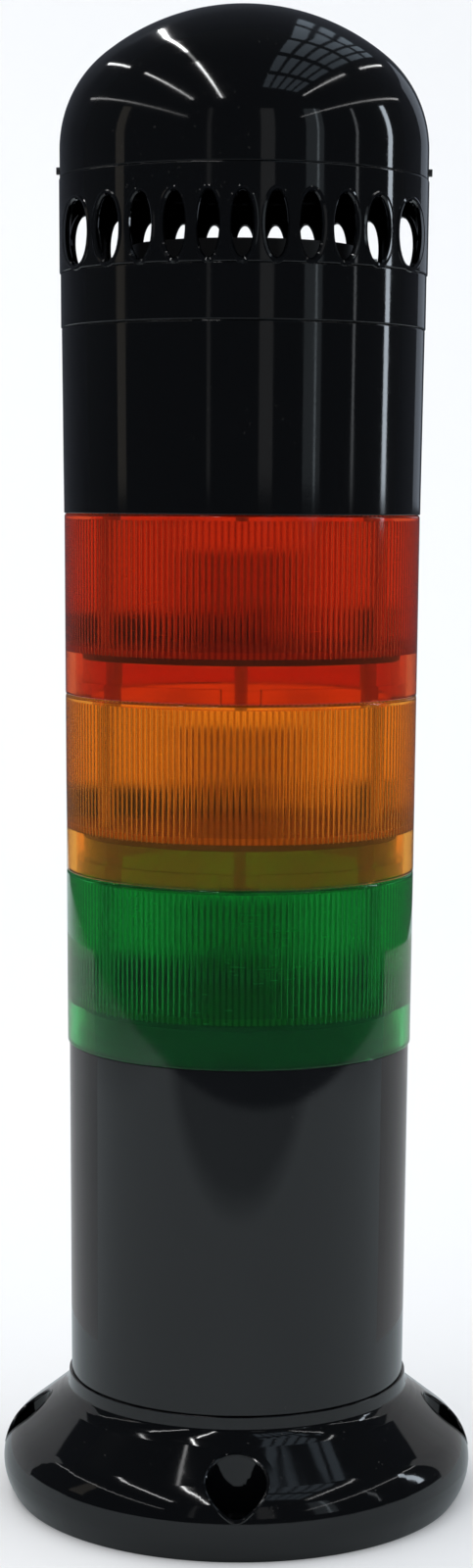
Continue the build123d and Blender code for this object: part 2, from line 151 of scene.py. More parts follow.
def aim_camera():
    """The photograph's viewpoint, fitted to the seams and outlines in it."""
    focal = 2861.6                           # in the photograph's pixels, as the centre is
    centre_x = 243.6
    centre_y = 1121.3
    distance = 807.1                         # in millimetres, as the eye's height is
    eye_above_tube_base = 254.4
    pitch = math.radians(12.092)
    roll = math.radians(0.352)
    data = bpy.data.cameras.new("photo_camera")
    data.sensor_width = 36.0
    data.lens = focal * data.sensor_width / PHOTO_HEIGHT
    data.shift_x = (PHOTO_WIDTH / 2 - centre_x) / PHOTO_HEIGHT
    data.shift_y = (centre_y - PHOTO_HEIGHT / 2) / PHOTO_HEIGHT
    data.clip_start = 0.01
    data.clip_end = 50.0
    camera = bpy.data.objects.new("photo_camera", data)
    bpy.context.scene.collection.objects.link(camera)
    place = Matrix.Translation((0.0, -distance * MM, (tube_base + eye_above_tube_base) * MM))
    turn = Matrix.Rotation(math.radians(90) - pitch, 4, "X") @ Matrix.Rotation(roll, 4, "Z")
    camera.matrix_world = place @ turn
    bpy.context.scene.camera = camera


aim_camera()
bpy.context.scene.view_settings.view_transform = "Standard"


class Shader:
    """A material's node tree, with short calls to add and join nodes."""

    def __init__(self, tree):
        self.tree = tree

    def node(self, kind, **settings):
        """A new node with these settings."""
        made = self.tree.nodes.new(kind)
        for name, value in settings.items():
            setattr(made, name, value)
        return made

    def join(self, source, target):
        """Feeds an output into an input."""
        self.tree.links.new(source, target)

    def maths(self, operation, first, second=0.0):
        """The result of one sum on numbers or outputs."""
        made = self.node("ShaderNodeMath", operation=operation)
        for socket, value in zip(made.inputs, (first, second)):
            if isinstance(value, (int, float)):
                socket.default_value = value
            else:
                self.join(value, socket)
        return made.outputs[0]

    def product(self, first, second):
        """One value times another."""
        return self.maths("MULTIPLY", first, second)

    def total(self, first, second):
        """One value and another added."""
        return self.maths("ADD", first, second)

    def ramp(self, value, start, end, low=0.0, high=1.0):
        """A number from low to high as a value goes from start to end, and level past both."""
        made = self.node("ShaderNodeMapRange", clamp=True)
        for name, number in zip(("From Min", "From Max", "To Min", "To Max"), (start, end, low, high)):
            made.inputs[name].default_value = number
        self.join(value, made.inputs["Value"])
        return made.outputs["Result"]

    def place(self):
        """Where the shaded place lies, in the object's own directions."""
        return self.node("ShaderNodeTexCoord").outputs["Object"]

    def split(self, vector):
        """A vector's X, Y and Z."""
        made = self.node("ShaderNodeSeparateXYZ")
        self.join(vector, made.inputs["Vector"])
        return made.outputs

    def reach(self, x, y):
        """Distance from the upright axis."""
        return self.maths("SQRT", self.total(self.product(x, x), self.product(y, y)))

    def noise(self, vector, scale, detail=2.0):
        """Cloudy noise, with about this many clouds to a metre."""
        made = self.node("ShaderNodeTexNoise")
        made.inputs["Scale"].default_value = scale
        made.inputs["Detail"].default_value = detail
        self.join(vector, made.inputs["Vector"])
        return made.outputs["Fac"]

    def bump(self, height, distance):
        """A normal that follows a height of up to this distance, in metres."""
        made = self.node("ShaderNodeBump")
        made.inputs["Distance"].default_value = distance
        self.join(height, made.inputs["Height"])
        return made.outputs["Normal"]

    def mix(self, factor, first, second):
        """The first colour where the factor is 0, and the second where it is 1."""
        made = self.node("ShaderNodeMix", data_type="RGBA")
        self.join(factor, made.inputs["Factor"])
        for label, colour in (("A", first), ("B", second)):
            if isinstance(colour, tuple):
                made.inputs[label].default_value = (*colour, 1.0)
            else:
                self.join(colour, made.inputs[label])
        return made.outputs["Result"]


def new_group(name, inputs, outputs):
    """An empty shader node group whose inputs and outputs are numbers."""
    tree = bpy.data.node_groups.new(name, "ShaderNodeTree")
    for direction, labels in (("INPUT", inputs), ("OUTPUT", outputs)):
        for label in labels:
            tree.interface.new_socket(label, in_out=direction, socket_type="NodeSocketFloat")
    shader = Shader(tree)
    return shader, shader.node("NodeGroupInput"), shader.node("NodeGroupOutput")


def make_handling_group():
    """Haze, faint wipe marks and dust specks that a handled moulding gathers."""
    shader, source, sink = new_group("handling", ("Haze", "Marks", "Dust"), ("Rough", "Dust"))
    place = shader.place()
    cloud = shader.ramp(shader.noise(place, 40.0, 3.0), 0.4, 0.7)
    haze = shader.product(cloud, source.outputs["Haze"])
    stretch = shader.node("ShaderNodeMapping")
    stretch.inputs["Scale"].default_value = (30.0, 30.0, 420.0)
    stretch.inputs["Rotation"].default_value = (0.2, 0.5, 0.1)
    shader.join(place, stretch.inputs["Vector"])
    scratch = shader.ramp(shader.noise(stretch.outputs["Vector"], 6.0, 1.0), 0.66, 0.72)
    marks = shader.product(scratch, source.outputs["Marks"])
    specks = shader.ramp(shader.noise(place, 900.0, 1.0), 0.72, 0.8)
    patches = shader.ramp(shader.noise(place, 25.0), 0.45, 0.65)
    facing = shader.split(shader.node("ShaderNodeNewGeometry").outputs["Normal"])
    upward = shader.ramp(facing["Z"], -0.2, 0.9, 0.25, 1.0)
    settled = shader.product(shader.product(specks, patches), upward)
    dust = shader.product(settled, source.outputs["Dust"])
    shader.join(shader.total(shader.total(haze, marks), dust), sink.inputs["Rough"])
    shader.join(dust, sink.inputs["Dust"])
    return shader.tree


def make_grain_group():
    """Fine texture of a spark-eroded mould, with slow colour variation."""
    shader, source, sink = new_group("mould_grain", ("Mottle",), ("Height", "Shade"))
    place = shader.place()
    shader.join(shader.noise(place, 1500.0), sink.inputs["Height"])
    cloud = shader.ramp(shader.noise(place, 18.0, 3.0), 0.3, 0.7, -0.5, 0.5)
    shader.join(shader.product(cloud, source.outputs["Mottle"]), sink.inputs["Shade"])
    return shader.tree


handling = make_handling_group()
mould_grain = make_grain_group()


def new_material(name, **values):
    """A material with one Principled BSDF set to plain values, and its shader, BSDF and output."""
    material = bpy.data.materials.new(name)
    material.use_nodes = True
    material.node_tree.nodes.clear()
    shader = Shader(material.node_tree)
    surface = shader.node("ShaderNodeBsdfPrincipled")
    sink = shader.node("ShaderNodeOutputMaterial")
    shader.join(surface.outputs["BSDF"], sink.inputs["Surface"])
    for label, value in values.items():
        surface.inputs[label.replace("_", " ")].default_value = value
    return material, shader, surface, sink


def worn(shader, haze, marks, dust):
    """The handling group, placed in a material with that material's own values."""
    wear = shader.node("ShaderNodeGroup", node_tree=handling)
    wear.inputs["Haze"].default_value = haze
    wear.inputs["Marks"].default_value = marks
    wear.inputs["Dust"].default_value = dust
    return wear.outputs


def moulded(name, colour, roughness, grain_depth, haze, marks, dust, **values):
    """An opaque finish: colour with mottle and dust, uneven gloss and a fine surface texture."""
    dust_colour = (0.35, 0.34, 0.32)
    material, shader, surface, _ = new_material(name, **values)
    grain = shader.node("ShaderNodeGroup", node_tree=mould_grain)
    grain.inputs["Mottle"].default_value = 0.25
    wear = worn(shader, haze, marks, dust)
    tint = shader.node("ShaderNodeHueSaturation")
    tint.inputs["Color"].default_value = (*colour, 1.0)
    shader.join(shader.total(grain.outputs["Shade"], 1.0), tint.inputs["Value"])
    dusty = shader.mix(wear["Dust"], tint.outputs["Color"], dust_colour)
    shader.join(dusty, surface.inputs["Base Color"])
    shader.join(shader.total(wear["Rough"], roughness), surface.inputs["Roughness"])
    shader.join(shader.bump(grain.outputs["Height"], grain_depth), surface.inputs["Normal"])
    return material


def make_rib_group():
    """Painted shade lines at each rib's foot, which stand in for the ribs' refraction, the ribs' own
    softer surface, and a lens's neck, where painted shade goes.
    """
    shader, _, sink = new_group("rib_lines", (), ("Lines", "Ribs", "Neck"))
    outer_face_r = lens_r - 0.5              # a little inside the outer face
    ribs_end_r = rib_tip_r + rib_depth + 0.02
    neck_end_r = locating_r + 0.1
    x, y, z = shader.split(shader.place())
    turn = shader.product(shader.maths("ARCTAN2", x, y), rib_count)
    wave = shader.ramp(shader.maths("COSINE", turn), -0.4, 1.0)
    reach = shader.reach(x, y)
    tier = (amber_base - green_base) * MM
    tiers_up = shader.maths("DIVIDE", shader.maths("SUBTRACT", z, green_base * MM), tier)
    place = shader.maths("FRACT", tiers_up)
    above = shader.maths("GREATER_THAN", place, skirt_height * MM / tier)
    below = shader.maths("LESS_THAN", place, 1.0 - shoulder * MM / tier)
    ribbed = shader.product(above, below)
    outside = shader.maths("GREATER_THAN", reach, outer_face_r * MM)
    inside = shader.maths("LESS_THAN", reach, ribs_end_r * MM)
    low_down = shader.maths("LESS_THAN", place, neck_height * MM / tier)
    narrow = shader.maths("LESS_THAN", reach, neck_end_r * MM)
    # painted shade lines at the ribs' feet, drawn on the outer face
    shader.join(shader.product(shader.product(wave, ribbed), outside), sink.inputs["Lines"])
    shader.join(shader.product(inside, ribbed), sink.inputs["Ribs"])
    # the neck is where a lens's neck colour goes, painted shade where it is darker than the tint
    shader.join(shader.product(low_down, narrow), sink.inputs["Neck"])
    return shader.tree


rib_lines = make_rib_group()


def tinted_lens(name, colour, rib_shade_colour, absorb, neck):
    """Tinted polycarbonate, with painted shade lines between its ribs and painted shade in its neck, and
    deeper where it is thick.
    """
    polish, rib_frost = 0.03, 0.17
    material, shader, surface, sink = new_material(name, IOR=1.5, Transmission_Weight=0.985)
    ribbed = shader.node("ShaderNodeGroup", node_tree=rib_lines).outputs
    # painted shade lines at the rib feet, then the neck colour, which is painted shade on the green lens
    tint = shader.mix(ribbed["Neck"], shader.mix(ribbed["Lines"], colour, rib_shade_colour), neck)
    shader.join(tint, surface.inputs["Base Color"])
    wear = worn(shader, 0.04, 0.05, 0.1)
    frost = shader.product(ribbed["Ribs"], rib_frost)
    gloss = shader.total(wear["Rough"], polish)
    shader.join(shader.total(gloss, frost), surface.inputs["Roughness"])
    volume = shader.node("ShaderNodeVolumeAbsorption")
    volume.inputs["Color"].default_value = (*absorb, 1.0)
    volume.inputs["Density"].default_value = 60.0
    shader.join(volume.outputs["Volume"], sink.inputs["Volume"])
    return material


# One finish for each slot of the record, its values in the order of the functions above
materials = {
    "gloss_black": moulded("gloss_black", (0.0012, 0.0014, 0.0018), 0.05, 0.000002, 0.04, 0.04, 0.1),
    "satin_black": moulded("satin_black", (0.003, 0.0035, 0.004), 0.03, 0.0000008, 0.015, 0.04, 0.1),
    # each lens's second colour is the painted shade of the lines at its ribs' feet
    "red_lens": tinted_lens(
        "red_lens", (0.76, 0.16, 0.045), (0.38, 0.05, 0.01), (0.9, 0.2, 0.1), (0.76, 0.16, 0.045)
    ),
    "amber_lens": tinted_lens(
        "amber_lens", (0.92, 0.47, 0.085), (0.46, 0.19, 0.02), (0.95, 0.6, 0.1), (0.9, 0.46, 0.085)
    ),
    # the green lens's last colour paints shade into its neck, darker than its tint
    "green_lens": tinted_lens(
        "green_lens", (0.05, 0.47, 0.15), (0.015, 0.21, 0.065), (0.1, 0.8, 0.3), (0.012, 0.28, 0.03)
    ),
    "board": moulded("board", (0.55, 0.36, 0.16), 0.45, 0.00002, 0.1, 0.05, 0.1),
    "component_black": moulded("component_black", (0.012, 0.012, 0.013), 0.4, 0.00002, 0.1, 0.0, 0.1),
    "lamp_white": moulded("lamp_white", (0.75, 0.74, 0.68), 0.2, 0.000004, 0.05, 0.0, 0.05),
    "seal_rubber": moulded("seal_rubber", (0.01, 0.01, 0.01), 0.6, 0.00003, 0.1, 0.0, 0.1),
    "zinc_steel": moulded("zinc_steel", (0.55, 0.55, 0.53), 0.3, 0.00001, 0.1, 0.1, 0.0, Metallic=1.0),
    "black_screw": moulded("black_screw", (0.02, 0.02, 0.02), 0.3, 0.00001, 0.1, 0.1, 0.0),
    "terminal_grey": moulded("terminal_grey", (0.4, 0.4, 0.38), 0.45, 0.00002, 0.1, 0.0, 0.1),
    "magnet_iron": moulded("magnet_iron", (0.25, 0.25, 0.25), 0.35, 0.00002, 0.1, 0.0, 0.0, Metallic=1.0),
    "cone_paper": moulded("cone_paper", (0.02, 0.02, 0.02), 0.8, 0.00004, 0.1, 0.0, 0.2),
}

slot_of = {row["node"]: row["material_slot"] for row in frame["record"]["subparts"]}


def dress(piece, slot):
    """Gives a piece one of the record's finishes."""
    piece.data.materials.clear()
    piece.data.materials.append(materials[slot])


def smooth(mesh):
    """Shades a mesh smooth, apart from its corners."""
    mesh.polygons.foreach_set("use_smooth", [True] * len(mesh.polygons))
    mesh.set_sharp_from_angle(angle=sharp_angle)


for name, node in frame["nodes"].items():
    dress(node, slot_of[name])
    smooth(node.data)


def plain(radius, angle):
    """Radius of a surface that is round all the way."""
    return radius


def near_front(angle, width):
    """True within a width along the rim, centred on the front."""
    return abs(math.remainder(angle, 2 * math.pi)) < width / 2 / locating_r


def ribs(radius, angle):
    """Upright ribs, each rounded towards the axis."""
    across = rib_count * angle / (2 * math.pi) % 1.0
    return radius + rib_depth * (2 * across - 1) ** 2


def key(radius, angle):
    """The key inside the front of a skirt."""
    return radius - key_depth if near_front(angle, key_width) else radius


def notch(radius, angle):
    """The notch in the front of a locating rim, which takes the key of the tier above."""
    return neck_r if near_front(angle, notch_width) else radius


def rounded(outline):
    """Points of a closed outline of (radius, height, fillet, form), with its fillets as arcs."""
    steps = 5
    points = []
    for place, (radius, height, fillet, form) in enumerate(outline):
        corner = Vector((radius, height))
        if not fillet:
            points.append((radius, height, form))
            continue
        before = (Vector(outline[place - 1][:2]) - corner).normalized()
        after = (Vector(outline[(place + 1) % len(outline)][:2]) - corner).normalized()
        half = before.angle(after) / 2
        centre = corner + (before + after).normalized() * fillet / math.sin(half)
        start = corner + before * fillet / math.tan(half) - centre
        end = corner + after * fillet / math.tan(half) - centre
        for step in range(steps + 1):
            point = centre + start.slerp(end, step / steps) * fillet
            points.append((point.x, point.y, form))
    return points


def new_piece(name, vertices, faces, slot):
    """A piece of the stack from vertices in millimetres, with one of the record's finishes."""
    mesh = bpy.data.meshes.new(name)
    mesh.from_pydata([Vector(place) * MM for place in vertices], [], faces)
    piece = bpy.data.objects.new(name, mesh)
    bpy.context.scene.collection.objects.link(piece)
    dress(piece, slot)
    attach(piece, "root")
    return piece


def lathe(name, slot, outline, columns=shell_columns):
    """A closed outline turned about the stack's axis."""
    weld_reach = 0.0005
    points = rounded(outline)
    vertices = []
    for column in range(columns):
        angle = 2 * math.pi * column / columns
        for radius, height, form in points:
            reach = form(radius, angle)
            vertices.append((reach * math.sin(angle), -reach * math.cos(angle), height))
    size = len(points)
    faces = []
    for column in range(columns):
        here, beside = column * size, (column + 1) % columns * size
        for i in range(size):
            j = (i + 1) % size
            faces.append((here + i, beside + i, beside + j, here + j))
    piece = new_piece(name, vertices, faces, slot)
    joined = bmesh.new()
    joined.from_mesh(piece.data)
    bmesh.ops.remove_doubles(joined, verts=joined.verts, dist=weld_reach * MM)
    bmesh.ops.recalc_face_normals(joined, faces=joined.faces)
    joined.to_mesh(piece.data)
    joined.free()
    smooth(piece.data)
    return piece


def spin(node, outline, columns=shell_columns):
    """A lathed shell that stands for a CAD node."""
    piece = lathe(f"{node}_shell", slot_of[node], outline, columns)
    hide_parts(node)
    return piece


def flat_faces_lead(piece):
    """Keeps a shell's broad faces free of shading from its rounded edges."""
    piece.modifiers.new("flat_faces_lead", "WEIGHTED_NORMAL").keep_sharp = True


def turned(x, y):
    """A place in the sounder head's own directions, turned as the head is."""
    cosine, sine = math.cos(head_turn), math.sin(head_turn)
    return x * cosine - y * sine, x * sine + y * cosine


def oval(half_width, half_height, steps, out=0.0):
    """Points round an ellipse, or this far outside it."""
    points = []
    for step in range(steps):
        angle = 2 * math.pi * step / steps
        edge = Vector((half_width * math.cos(angle), half_height * math.sin(angle)))
        away = Vector((math.cos(angle) / half_width, math.sin(angle) / half_height)).normalized()
        points.append(tuple(edge + away * out))
    return points


def bore(piece, outlines, across=False):
    """Cuts straight holes right through a piece, from front to back or from side to side."""
    vertices, faces = [], []
    for outline in outlines:
        size, first = len(outline), len(vertices)
        for end in (-2 * lens_r, 2 * lens_r):
            for side, height in outline:
                x, y = turned(end, side) if across else turned(side, end)
                vertices.append((x, y, height))
        faces += [
            (first + i, first + (i + 1) % size, first + size + (i + 1) % size, first + size + i)
            for i in range(size)
        ]
        faces.append(tuple(first + i for i in reversed(range(size))))
        faces.append(tuple(first + size + i for i in range(size)))
    mesh = bpy.data.meshes.new("cutter")
    mesh.from_pydata([Vector(place) * MM for place in vertices], [], faces)
    shape = bmesh.new()
    shape.from_mesh(mesh)
    bmesh.ops.recalc_face_normals(shape, faces=shape.faces)
    shape.to_mesh(mesh)
    shape.free()
    cutter = bpy.data.objects.new("cutter", mesh)
    bpy.context.scene.collection.objects.link(cutter)
    bite = piece.modifiers.new("bite", "BOOLEAN")
    bite.operation = "DIFFERENCE"
    bite.solver = "EXACT"
    bite.object = cutter
    graph = bpy.context.evaluated_depsgraph_get()
    whole = piece.data
    piece.data = bpy.data.meshes.new_from_object(piece.evaluated_get(graph))
    piece.modifiers.remove(bite)
    bpy.data.objects.remove(cutter)
    bpy.data.meshes.remove(whole)
    smooth(piece.data)


def true_walls(piece):
    """Shades upright round walls as true cylinders, also where a hole breaks them."""
    least_upright = 0.999
    keep_own = (0.0, 0.0, 0.0)
    mesh = piece.data
    normals = []
    for face in mesh.polygons:
        outward = Vector((face.center.x, face.center.y, 0.0)).normalized()
        lean = face.normal.dot(outward)
        for corner in face.vertices:
            place = mesh.vertices[corner].co
            out = Vector((place.x, place.y, 0.0)).normalized()
            upright = abs(lean) > least_upright
            normals.append(out * math.copysign(1.0, lean) if upright else keep_own)
    mesh.normals_split_custom_set(normals)


def beads(name, runs, radius, slot):
    """Round beads along closed runs of (place, outward direction), in one piece."""
    sides = 10
    vertices, faces = [], []
    for run in runs:
        size, first = len(run), len(vertices)
        for step, (place, out) in enumerate(run):
            along = (run[(step + 1) % size][0] - run[step - 1][0]).normalized()
            rise = (out - along * out.dot(along)).normalized()
            beside = along.cross(rise)
            for side in range(sides):
                angle = 2 * math.pi * side / sides
                vertices.append(place + (rise * math.cos(angle) + beside * math.sin(angle)) * radius)
                here = first + step * sides
                ahead = first + (step + 1) % size * sides
                turn = (side + 1) % sides
                faces.append((here + side, here + turn, ahead + turn, ahead + side))
    smooth(new_piece(name, vertices, faces, slot).data)


def neck_outline(outer_r, inner_r, top, fillet):
    """Outline of a tier's shoulder and neck, from the outer face round to the bore."""
    return [
        (outer_r, top, fillet, plain),
        (locating_r, top, 0, notch),
        (locating_r, top + locating_height, 0, notch),
        (neck_r, top + locating_height, 0, plain),
        (neck_r, top + neck_height, neck_fillet, plain),
        (neck_in_r, top + neck_height, neck_fillet, plain),
        (neck_in_r, top - shoulder, 0, plain),
        (inner_r, top - shoulder, 0, plain),
    ]


def key_outline(base):
    """Outline of a skirt's bore round its key, from the top down."""
    return [
        (skirt_r, base + key_high, 0, plain),
        (skirt_r, base + key_high, 0, key),
        (skirt_r, base + key_low, 0, key),
        (skirt_r, base + key_low, 0, plain),
    ]


def make_lens(node):
    """A clear tier with rounded ribs inside, which blur what stands behind them."""
    base = low(node)
    top = base + amber_base - green_base
    outline = [(skirt_r, base, 0, plain), (lens_r, base, thin_fillet, plain)]
    outline += neck_outline(lens_r, rib_tip_r, top, lens_shoulder_fillet)[:-1]
    outline += [
        (rib_tip_r, top - shoulder, 0, ribs),
        (rib_tip_r, base + skirt_height, 0, ribs),
        (skirt_r, base + skirt_height, 0, plain),
    ]
    outline += key_outline(base)
    flat_faces_lead(spin(node, outline, rib_facets * rib_count))


def make_black_tier():
    """The black tier, slightly wider at its top."""
    base = housing_base
    base_r = lens_r + 0.1
    top_r = lens_r + 0.4
    outline = [(skirt_r, base, 0, plain), (base_r, base, thin_fillet, plain)]
    outline += neck_outline(top_r, skirt_r, collar_base, tier_shoulder_fillet)
    flat_faces_lead(spin("black_tier", outline + key_outline(base)))


def make_collar():
    """The collar between the black tier and the sound ring."""
    ledge_r = neck_r + spigot_gap
    ledge_top = collar_base + neck_height
    ledge_low = ledge_top - spigot_wall
    outer_r = lens_r + 0.6
    outline = [
        (skirt_r, collar_base, 0, plain),
        (outer_r, collar_base, edge_fillet, plain),
        (outer_r, ring_base, edge_fillet, plain),
        (skirt_r, ring_base, 0, plain),
        (skirt_r, ledge_top, 0, plain),
        (ledge_r, ledge_top, 0, plain),
        (ledge_r, ledge_low, 0, plain),
        (skirt_r, ledge_low, 0, plain),
    ]
    flat_faces_lead(spin("collar", outline + key_outline(collar_base)))


def dome_outline(inset):
    """The domed cap's profile from its lower edge to its summit, this far inside its outer face."""
    steps = 24
    shoulder_r = cap_rise - cap_crown_gain
    shoulder_x = cap_r - shoulder_r
    crown_r = (shoulder_x**2 + cap_rise**2 - shoulder_r**2) / (2 * cap_crown_gain)
    join = math.atan2(crown_r - cap_rise, shoulder_x)
    shoulder_z = cap_base + cap_straight
    crown_z = shoulder_z + cap_rise - crown_r
    outline = [(cap_r - inset, cap_base, 0 if inset else edge_fillet, plain)]
    for step in range(steps + 1):
        angle = join * step / steps
        reach = shoulder_r - inset
        height = shoulder_z + reach * math.sin(angle)
        outline.append((shoulder_x + reach * math.cos(angle), height, 0, plain))
    for step in range(1, steps + 1):
        angle = join + (math.pi / 2 - join) * step / steps
        reach = crown_r - inset
        outline.append((reach * math.cos(angle), crown_z + reach * math.sin(angle), 0, plain))
    return outline


def screw_holes():
    """Outline of the holes for the two cap screws."""
    hole_points = 16
    middle = cap_base + cap_screw_up
    edge = oval(cap_screw_hole_r, cap_screw_hole_r, hole_points)
    return [(side, middle + height) for side, height in edge]


def make_dome_cap():
    """The domed cap, with a hole for a screw on each side."""
    cap = spin("dome_cap", dome_outline(0) + dome_outline(cap_wall)[::-1])
    bore(cap, [screw_holes()], across=True)
    flat_faces_lead(cap)


def port_middles():
    """How far each port stands to the side of the middle one."""
    return [(place - (port_count - 1) / 2) * port_pitch for place in range(port_count)]


def make_sound_ring():
    """The sound ring. Its ports are pulled straight from front to back and have rounded lips."""
    base, top = low("sound_ring"), high("sound_ring")
    spigot_in_r = locating_r - spigot_wall
    top_spigot_r = cap_r - cap_wall - spigot_gap
    top_spigot_in_r = top_spigot_r - spigot_wall
    bore_low = ring_base + 1.1
    bore_high = cap_base - 1.3
    ring = spin("sound_ring", [
        (spigot_in_r, base, 0, plain),
        (locating_r, base, 0, plain),
        (locating_r, ring_base, 0, plain),
        (ring_r, ring_base, edge_fillet, plain),
        (ring_r, cap_base, edge_fillet, plain),
        (top_spigot_r, cap_base, 0, plain),
        (top_spigot_r, top, 0, plain),
        (top_spigot_in_r, top, 0, plain),
        (top_spigot_in_r, bore_high, 0, plain),
        (ring_in_r, bore_high, 0, plain),
        (ring_in_r, bore_low, 0, plain),
        (spigot_in_r, bore_low, 0, plain),
    ])
    edge = oval(port_width / 2, port_height / 2, rim_points, port_lip)
    centre = port_low + port_height / 2
    ports = [[(middle + side, centre + height) for side, height in edge] for middle in port_middles()]
    bore(ring, ports)
    bore(ring, [screw_holes()], across=True)
    true_walls(ring)
    reach = ring_r - port_lip + port_lip_proud
    runs = []
    for facing in (-1, 1):
        for port in ports:
            run = []
            for side, height in port:
                x, y = turned(side, facing * math.sqrt(reach**2 - side**2))
                run.append((Vector((x, y, height)), Vector((x, y, 0.0)) / reach))
            runs.append(run)
    beads("port_lips", runs, port_lip, "gloss_black")


def make_pocket_lips():
    """Rounded rims of the foot's oval screw pockets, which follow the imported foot's surface."""
    foot = frame["nodes"]["base_flange"]
    look_from = 60.0
    downwards = Vector((0.0, 0.0, -1.0))
    edge = oval(pocket_length / 2, pocket_width / 2, rim_points, pocket_lip_out)
    runs = []
    for place in range(pocket_count):
        angle = place * 2 * math.pi / pocket_count
        run = []
        for along, beside in edge:
            reach = pocket_circle_r + along
            x = reach * math.cos(angle) - beside * math.sin(angle)
            y = reach * math.sin(angle) + beside * math.cos(angle)
            _, hit, out, _ = foot.ray_cast(Vector((x, y, look_from)) * MM, downwards)
            run.append((hit / MM - out * (pocket_lip - pocket_lip_proud), out))
        runs.append(run)
    beads("pocket_lips", runs, pocket_lip, "gloss_black")


def make_foot_collar():
    """The upright rim at the top of the foot, just outside the tube, which runs into the slope."""
    inner_r = foot_rim_r - 1.2
    corner_r = foot_rim_r + 0.4
    end_r = foot_rim_r + 3.8
    tuck_r = foot_rim_r + 4.4
    depth = 9.0                              # down its inner wall, inside the foot
    tuck = 0.5                               # of its outer edge into the foot
    cover = 0.05                             # above the foot's own surface

    def on_slope(radius):
        """Height just above the foot's slope."""
        return foot_slope_z + (foot_slope_r - radius) * math.tan(foot_slope) + cover

    collar = lathe("foot_collar", "gloss_black", [
        (inner_r, tube_base - depth, 0, plain),
        (tuck_r, on_slope(tuck_r) - tuck, 0, plain),
        (end_r, on_slope(end_r), 0, plain),
        (corner_r, on_slope(corner_r), foot_rim_fillet, plain),
        (foot_rim_r, tube_base, foot_rim_edge, plain),
        (inner_r, tube_base, 0, plain),
    ])
    flat_faces_lead(collar)


def ease_tube():
    """Rounds the tube's edges."""
    weld_reach = 0.001
    least_edge_angle = math.radians(40)
    tube = frame["nodes"]["base_tube"]
    tube.modifiers.new("joined", "WELD").merge_threshold = weld_reach * MM
    ease = tube.modifiers.new("eased_edges", "BEVEL")
    ease.width = thin_fillet * MM
    ease.segments = 3
    ease.limit_method = "ANGLE"
    ease.angle_limit = least_edge_angle
    ease.use_clamp_overlap = False
    flat_faces_lead(tube)


for tier in ("green_lens", "amber_lens", "red_lens"):
    make_lens(tier)
make_black_tier()
make_collar()
make_dome_cap()
make_sound_ring()
make_pocket_lips()
make_foot_collar()
ease_tube()


def by_ray(shader, seen, mirrored):
    """A colour for what is seen directly, and another for what gloss mirrors."""
    path = shader.node("ShaderNodeLightPath").outputs
    gloss = shader.maths("SUBTRACT", path["Is Glossy Ray"], path["Is Transmission Ray"])
    return shader.mix(gloss, seen, mirrored)


def mirrored_table(shader):
    """What gloss mirrors of the floor: a pale table with a painted shadow at its front, dark past its
    edge.
    """
    dark_colour, table_colour = (0.05, 0.055, 0.065), (0.5, 0.54, 0.55)
    table_edge, edge_blur = 0.62, 0.02       # how far the table reaches, at its nearest
    edge_turn = 0.26                         # compass angle of that place
    edge_spread, edge_gain = 0.96, 0.08      # it reaches further to both sides
    side_start, side_end, side_left = 0.6, 1.0, 0.1
    # painted shadow on the mirrored table, a soft ellipse at its front
    shade_y, shade_width, shade_length = -0.64, 0.68, 0.22
    shade_start, shade_end, shade_left = 0.6, 1.2, 0.42
    x, y, _ = shader.split(shader.place())
    wide = shader.ramp(shader.maths("ABSOLUTE", x), side_start, side_end, 1.0, side_left)
    compass = shader.maths("ARCTAN2", x, shader.product(y, -1.0))
    off_front = shader.maths("DIVIDE", shader.maths("SUBTRACT", compass, edge_turn), edge_spread)
    gain = shader.product(shader.product(off_front, off_front), edge_gain)
    past_edge = shader.maths("SUBTRACT", shader.reach(x, y), gain)
    on_table = shader.ramp(past_edge, table_edge, table_edge + edge_blur, 1.0, 0.0)
    across = shader.maths("DIVIDE", x, shade_width)
    along = shader.maths("DIVIDE", shader.maths("SUBTRACT", y, shade_y), shade_length)
    squares = shader.total(shader.product(across, across), shader.product(along, along))
    painted_shadow = shader.ramp(squares, shade_start, shade_end, shade_left, 1.0)
    pale = shader.product(shader.product(wide, on_table), painted_shadow)
    return shader.mix(pale, dark_colour, table_colour)


def make_stage():
    """A plain pale floor that curves up into a backdrop."""
    half = 4.0
    bend_start, bend, backdrop_top = 1.2, 0.8, 4.0
    bend_steps = 12
    angles = [math.radians(90 * step / bend_steps) for step in range(1, bend_steps + 1)]
    outline = [(-half, 0.0), (bend_start, 0.0)]
    outline += [(bend_start + bend * math.sin(a), bend * (1 - math.cos(a))) for a in angles]
    outline.append((bend_start + bend, backdrop_top))
    points = [(side * half, y, z) for y, z in outline for side in (-1, 1)]
    faces = [(2 * i, 2 * i + 1, 2 * i + 3, 2 * i + 2) for i in range(len(outline) - 1)]
    mesh = bpy.data.meshes.new("floor")
    mesh.from_pydata(points, [], faces)
    mesh.polygons.foreach_set("use_smooth", [True] * len(faces))
    floor = bpy.data.objects.new("floor", mesh)
    bpy.context.scene.collection.objects.link(floor)
    material, shader, surface, _ = new_material("pale_floor", Roughness=0.9, Specular_IOR_Level=0.1)
    colour = by_ray(shader, (0.85, 0.85, 0.85), mirrored_table(shader))
    shader.join(colour, surface.inputs["Base Color"])
    mesh.materials.append(material)


